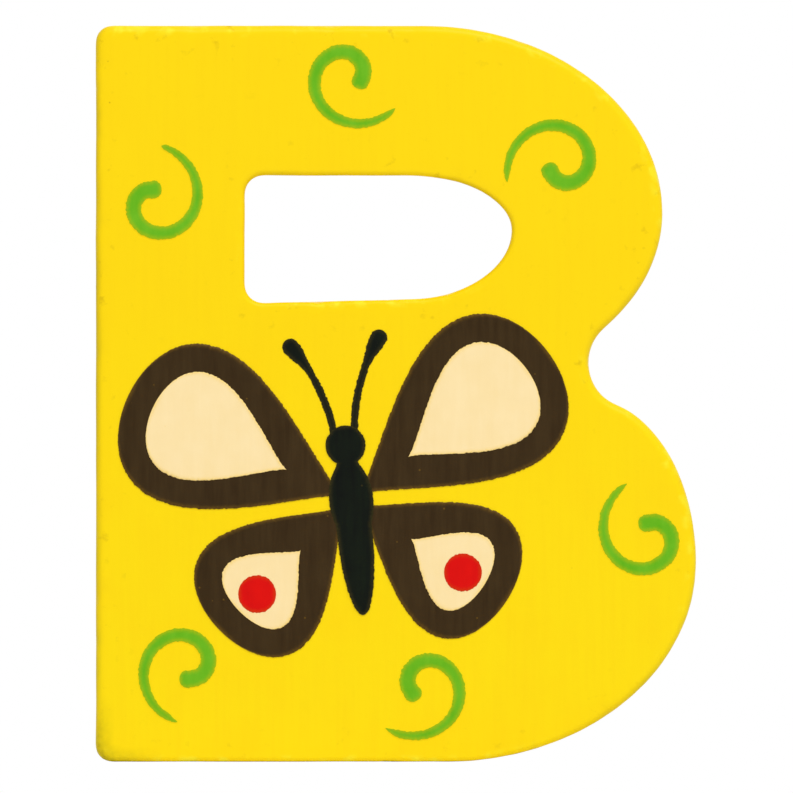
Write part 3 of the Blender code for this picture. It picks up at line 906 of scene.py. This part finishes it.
def yellow_paint():
    """Satin paint on sanded wood: rubbing and a painted highlight on edges facing up, grime and painted
    shade on edges facing left and down, darker at the foot of the stem.
    """
    material, tree, shader, place = new_finish("yellow_paint", PAINT_GLOSS)
    run = surface_number(tree, "edge_run")
    edge_grime_and_shade = surface_number(tree, "edge_grime_and_shade")
    wall = run.within(*WALL_SETS_IN)
    mottle = clouds(tree, place, MOTTLE.size, MOTTLE.detail)
    grain = clouds(tree, place, GRAIN.size, GRAIN.detail, GRAIN_STRETCH)
    peel = clouds(tree, place, PEEL_SIZE, PEEL_DETAIL)
    height = Amount(tree, add_node(tree, "ShaderNodeSeparateXYZ", {0: place}).outputs["Z"])
    foot = (height + mottle * PAINT_CHANGE_WANDER).within(*PAINT_CHANGE)
    colour = blend(tree, foot, linear(*PAINT_ABOVE), linear(*PAINT_BELOW))
    colour = blend(tree, mottle.within(*MOTTLE.shown) * MOTTLE_STRENGTH, colour, linear(*MOTTLE.colour))
    grained = grain.within(*GRAIN.shown) * wall.between(*GRAIN_FROM_FACE_TO_WALL)
    colour = blend(tree, grained, colour, linear(*GRAIN.colour))
    on_round = run.within(*ROUND_SETS_IN) * run.within(*ROUND_DIES_AWAY)
    # Rubbed paint and a painted highlight on the round-overs, strongest where there is least grime and
    # painted shade: on edges facing up and right, towards the back and just above the floor.
    rubbed_highlight = shown_clouds(tree, place, RUBBED_HIGHLIGHT) * on_round * edge_grime_and_shade.within(*RUBBED_HIGHLIGHT_BY_GRIME_AND_SHADE)
    colour = blend(tree, rubbed_highlight * RUBBED_HIGHLIGHT_STRENGTH, colour, linear(*RUBBED_HIGHLIGHT.colour))
    near = run.within(*SMUDGES_SET_IN).between(*SMUDGE_FROM_FACE_TO_EDGE)
    near = near * wall.between(*SMUDGE_FROM_FACE_TO_WALL)
    smudge = shown_clouds(tree, place, SMUDGE) * near * foot.between(*SMUDGE_FROM_TOP_TO_FOOT)
    colour = blend(tree, smudge * SMUDGE_STRENGTH, colour, linear(*SMUDGE.colour))
    # Grime and painted shade along the rims: olive, strongest where edges face left and down.
    rim = run.within(*RIM_SETS_IN) * run.within(*RIM_DIES_AWAY) * edge_grime_and_shade
    rim_grime_and_shade = rim * shown_clouds(tree, place, GRIME_AND_SHADE).between(*GRIME_AND_SHADE_FROM_THIN_TO_THICK)
    away = vector_work(tree, "DISTANCE", {0: place, 1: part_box("letter_board")[0]}, "Value")
    # Darker near the stem's lower front corner, in the same olive.
    corner_darkening = Amount(tree, away).within(*DARKER_CORNER) * run.within(*CORNER_DARKENING_SETS_IN)
    corner_darkening = corner_darkening * peel.within(*PEEL_SHOWN).between(*CORNER_DARKENING_FROM_THIN_TO_THICK)
    colour = blend(tree, rim_grime_and_shade.work("MAXIMUM", corner_darkening) * GRIME_AND_SHADE_STRENGTH, colour, linear(*GRIME_AND_SHADE.colour))
    stray = specks(tree, place, STRAY_PITCH, STRAY_RADIUS, STRAY_SHARE)
    colour = blend(tree, stray * STRAY_STRENGTH, colour, linear(*STRAY_COLOUR))
    rough = mottle * MOTTLE_ROUGHNESS + peel * PEEL_ROUGHNESS + PAINT_ROUGHNESS + smudge * SMUDGE_ROUGHNESS
    grain_relief = grain * wall.between(*GRAIN_RELIEF_FROM_FACE_TO_WALL)
    surface(tree, shader, colour, rough, peel * PEEL_RELIEF + grain_relief - stray * SPECK_DEPTH)
    return material


def printed_ink(name, ink):
    """Ink with faint light and dark streaks and a few pinholes, thinner along its edges."""
    material, tree, shader, place = new_finish(name, INK_GLOSS)
    edge = surface_number(tree, "ink_edge")
    streaks = clouds(tree, place, STREAK_WIDTH, INK_CLOUD_DETAIL, STREAK_STRETCH)
    cloud = clouds(tree, place, INK_CLOUD_SIZE, INK_CLOUD_DETAIL)
    fine = clouds(tree, place, INK_FINE_SIZE, INK_FINE_DETAIL)
    thick = (streaks * ink.streaking + cloud * (1.0 - ink.streaking)).within(*INK_CLOUD_SHOWN)
    colour = blend(tree, thick, linear(*ink.dark), linear(*ink.light))
    pinholes = specks(tree, place, PINHOLE_PITCH, PINHOLE_RADIUS, ink.holes)
    starved = edge.within(STARVED_EDGE_MM, 0.0) ** STARVED_FALL
    starved = starved * fine.within(*INK_FINE_SHOWN).between(*STARVED_FROM_LEAST_TO_MOST)
    bare = (pinholes * PINHOLE_STRENGTH).work("MAXIMUM", starved)
    colour = blend(tree, bare, colour, linear(*ink.thin))
    rough = thick * THICK_INK_ROUGHNESS + fine * FINE_INK_ROUGHNESS + INK_ROUGHNESS
    relief = fine * FINE_INK_RELIEF + thick * THICK_INK_RELIEF - pinholes * SPECK_DEPTH
    surface(tree, shader, colour, rough, relief)
    return material


def add_board(paint):
    """The finished board in place of its CAD node."""
    piece = bpy.data.objects.new("painted_board", board_mesh())
    bpy.context.scene.collection.objects.link(piece)
    piece.data.materials.append(paint)
    settle(piece, "letter_board")


def film_values(printing_pass, seed, across, up, turn=0.0):
    """The sizes of one ink film, and where it lies."""
    low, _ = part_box("letter_board")
    return {
        **FILM,
        "Across": low.x + across,
        "Up": up,
        "Turn": turn,
        "Seed": seed,
        "Height": INK_LIFT * (printing_pass + 1),
        "Face": low.y,
    }


def add_curls(film, green):
    """The six printed curls."""
    tree = curl_tree(film)
    for seed, (node, across, up, start, hand, tip_reach) in enumerate(CURLS, start=CURL_SEED):
        values = film_values(LINE_PASS, seed, across, up)
        values.update({**CURL, "Start angle": math.radians(start), "Hand": hand, "Tip reach": tip_reach})
        settle(printed("printed_" + node, tree, green, values), node)


def add_wings(tree, brown, cream):
    """The four wings, each with its pale patch."""
    seeds = count(WING_SEED)
    for side, mirror in (("left", -1), ("right", 1)):
        for pair, (length, width, angle) in (("fore", FORE_WING), ("hind", HIND_WING)):
            wing = {"Count": WING_COUNT, "Start": WING_ROOT_GAP, "Length": length, "Width": width}
            patch = {
                "Count": PATCH_COUNT,
                "Start": WING_ROOT_GAP + PATCH_START,
                "Length": length - PATCH_START - WING_BORDER,
                "Width": width - 2 * WING_BORDER,
            }
            turn = BUTTERFLY_TILT + mirror * angle
            for kind, shape, ink, slot, printing_pass in (
                ("wing", wing, brown, "brown_ink", WING_PASS),
                ("patch", patch, cream, "cream_ink", MARKING_PASS),
            ):
                node = f"{pair}_{kind}_{side}"
                values = film_values(printing_pass, next(seeds), BUTTERFLY_ACROSS, BUTTERFLY_UP, turn)
                values.update({"Mirror": mirror, "Pointing": WING_POINTING, **shape})
                settle(printed("printed_" + node, tree, ink, values), node)


def add_spots(tree, red):
    """A round spot on each hind wing, where its CAD node lies."""
    stem_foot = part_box("letter_board")[0].x
    for seed, side in enumerate(("left", "right"), start=SPOT_SEED):
        node = "hind_spot_" + side
        low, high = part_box(node)
        values = film_values(SPOT_PASS, seed, (low.x + high.x) / 2 - stem_foot, (low.z + high.z) / 2)
        values.update({"Count": SPOT_COUNT, "Mirror": 1, "Pointing": 0, "Start": -SPOT_DIAMETER / 2,
                       "Length": SPOT_DIAMETER, "Width": SPOT_DIAMETER})
        settle(printed("printed_" + node, tree, red, values), node)


def oval_half_width(along, middle, half_length, half_width):
    """Half the width of an oval at places along its axis, and none beyond its ends."""
    share = np.clip((along - middle) / half_length, -1.0, 1.0)
    return half_width * np.sqrt(1 - share ** 2)


def body_stroke():
    """Head, thorax and tapering tail as one stroke along the body's axis."""
    top = HEAD_LIFT + HEAD_DIAMETER / 2
    turn = np.linspace(0.0, math.pi, BODY_COUNT)
    along = (top - BODY_TAIL) / 2 - (top + BODY_TAIL) / 2 * np.cos(turn)
    tail_half = (BODY_TAIL + HEAD_LIFT) / 2
    half_widths = np.maximum.reduce((
        oval_half_width(along, HEAD_LIFT, HEAD_DIAMETER / 2, HEAD_DIAMETER / 2),
        oval_half_width(along, 0.0, THORAX_LENGTH / 2, THORAX_WIDTH / 2),
        oval_half_width(along, tail_half - BODY_TAIL, tail_half, BODY_WIDTH / 2),
    ))
    return np.column_stack((np.zeros(BODY_COUNT), along)), half_widths


def antenna_stroke(mirror):
    """A thin feeler that bends outwards to a small round knob."""
    share = np.linspace(0.0, 1.0, ANTENNA_COUNT)
    heading = math.pi / 2 - ANTENNA_SPREAD - (share - 0.5) * ANTENNA_BEND
    way = np.column_stack((np.cos(heading), np.sin(heading)))
    steps = ANTENNA_LENGTH / (ANTENNA_COUNT - 1) * way
    root = np.array((HEAD_DIAMETER / 4, HEAD_LIFT + HEAD_DIAMETER / 4))
    path = root + np.cumsum(steps, axis=0) - steps[0]
    knob_start = 1 - 2 * ANTENNA_KNOB / ANTENNA_LENGTH
    swell = np.clip((share - knob_start) / (1 - knob_start), 0.0, 1.0)
    half_widths = (ANTENNA_STROKE + (ANTENNA_KNOB - ANTENNA_STROKE) * np.sin(swell * math.pi / 2) ** 2) / 2
    bend = np.linspace(0.0, math.pi / 2, CAP_COUNT)[1:]
    cap = path[-1] + half_widths[-1] * np.sin(bend)[:, None] * way[-1]
    path = np.vstack((path, cap)) * (mirror, 1)
    return path, np.concatenate((half_widths, half_widths[-1] * np.cos(bend)))


def add_body(film, black):
    """The butterfly's body and its two antennae."""
    strokes = (
        ("butterfly_body", body_stroke(), MARKING_PASS),
        ("antenna_left", antenna_stroke(-1), LINE_PASS),
        ("antenna_right", antenna_stroke(1), LINE_PASS),
    )
    for seed, (node, (path, half_widths), printing_pass) in enumerate(strokes, start=BODY_SEED):
        stroke = stroke_mesh(node + "_stroke", path, half_widths)
        values = film_values(printing_pass, seed, BUTTERFLY_ACROSS, BUTTERFLY_UP, BUTTERFLY_TILT)
        settle(printed("printed_" + node, film, black, values, stroke), node)


def seen_or_mirrored(tree):
    """One where a camera, mirror or glass looks, none where light is gathered."""
    path = add_node(tree, "ShaderNodeLightPath")
    camera = Amount(tree, path.outputs["Is Camera Ray"])
    glossy = Amount(tree, path.outputs["Is Glossy Ray"])
    through = Amount(tree, path.outputs["Is Transmission Ray"])
    return camera.work("MAXIMUM", glossy).work("MAXIMUM", through)


def pale_floor():
    """A pale matt finish that takes a shadow near the letter and passes into white further away."""
    material, tree, shader, place = new_finish("pale_floor", FLOOR_GLOSS)
    shader.inputs["Base Color"].default_value = FLOOR_COLOUR
    shader.inputs["Roughness"].default_value = FLOOR_ROUGHNESS
    away = Amount(tree, vector_work(tree, "LENGTH", {0: place}, "Value"))
    glow = add_node(tree, "ShaderNodeEmission", {"Color": WHITE, "Strength": 1.0})
    shown = add_node(tree, "ShaderNodeMixShader")
    feed(tree, shown.inputs[0], away.within(*FLOOR_TURNS_WHITE) * seen_or_mirrored(tree))
    feed(tree, shown.inputs[1], shader.outputs[0])
    feed(tree, shown.inputs[2], glow.outputs[0])
    feed(tree, tree.nodes["Material Output"].inputs["Surface"], shown.outputs[0])
    return material


def add_floor():
    """A wide floor under the letter."""
    mesh = bpy.data.meshes.new("floor")
    corners = [(x * FLOOR_REACH, y * FLOOR_REACH, 0.0) for x, y in ((-1, -1), (1, -1), (1, 1), (-1, 1))]
    mesh.from_pydata(corners, [], [(0, 1, 2, 3)])
    mesh.materials.append(pale_floor())
    floor = bpy.data.objects.new("floor", mesh)
    bpy.context.scene.collection.objects.link(floor)


def add_light():
    """White surroundings with a dimmer share lighting the letter, and one broad soft light above."""
    world = bpy.data.worlds.new("studio")
    bpy.context.scene.world = world
    world.use_nodes = True
    tree = world.node_tree
    background = tree.nodes["Background"]
    background.inputs["Color"].default_value = WHITE
    feed(tree, background.inputs["Strength"], seen_or_mirrored(tree).between(AMBIENT, 1.0))
    light = bpy.data.lights.new("soft_light", "AREA")
    light.shape = "DISK"
    light.size = KEY_SIZE
    light.energy = KEY_POWER
    lamp = bpy.data.objects.new("soft_light", light)
    lamp.location = KEY_PLACE
    aim = Vector(KEY_AIM) - Vector(KEY_PLACE)
    lamp.rotation_euler = aim.to_track_quat("-Z", "Y").to_euler()
    bpy.context.scene.collection.objects.link(lamp)


def add_camera():
    """A camera square in front of the letter."""
    camera = bpy.data.cameras.new("camera")
    camera.type = "ORTHO"
    camera.ortho_scale = PICTURE_WIDTH
    camera.clip_start = CAMERA_NEAR
    camera.clip_end = CAMERA_FAR
    holder = bpy.data.objects.new("camera", camera)
    holder.location = (PICTURE_MIDDLE[0], -CAMERA_DISTANCE, PICTURE_MIDDLE[1])
    holder.rotation_euler = (math.pi / 2, 0.0, 0.0)
    bpy.context.scene.collection.objects.link(holder)
    bpy.context.scene.camera = holder


def main():
    """Build every piece, then the stage."""
    bpy.context.scene.view_settings.view_transform = "Standard"
    add_board(yellow_paint())
    film = film_tree()
    add_curls(film, printed_ink("green_ink", GREEN_INK))
    brown = printed_ink("brown_ink", BROWN_INK)
    cream = printed_ink("cream_ink", CREAM_INK)
    wing = wing_tree(film)
    add_wings(wing, brown, cream)
    add_spots(wing, printed_ink("red_ink", RED_INK))
    add_body(film, printed_ink("black_ink", BLACK_INK))
    add_floor()
    add_light()
    add_camera()


main()
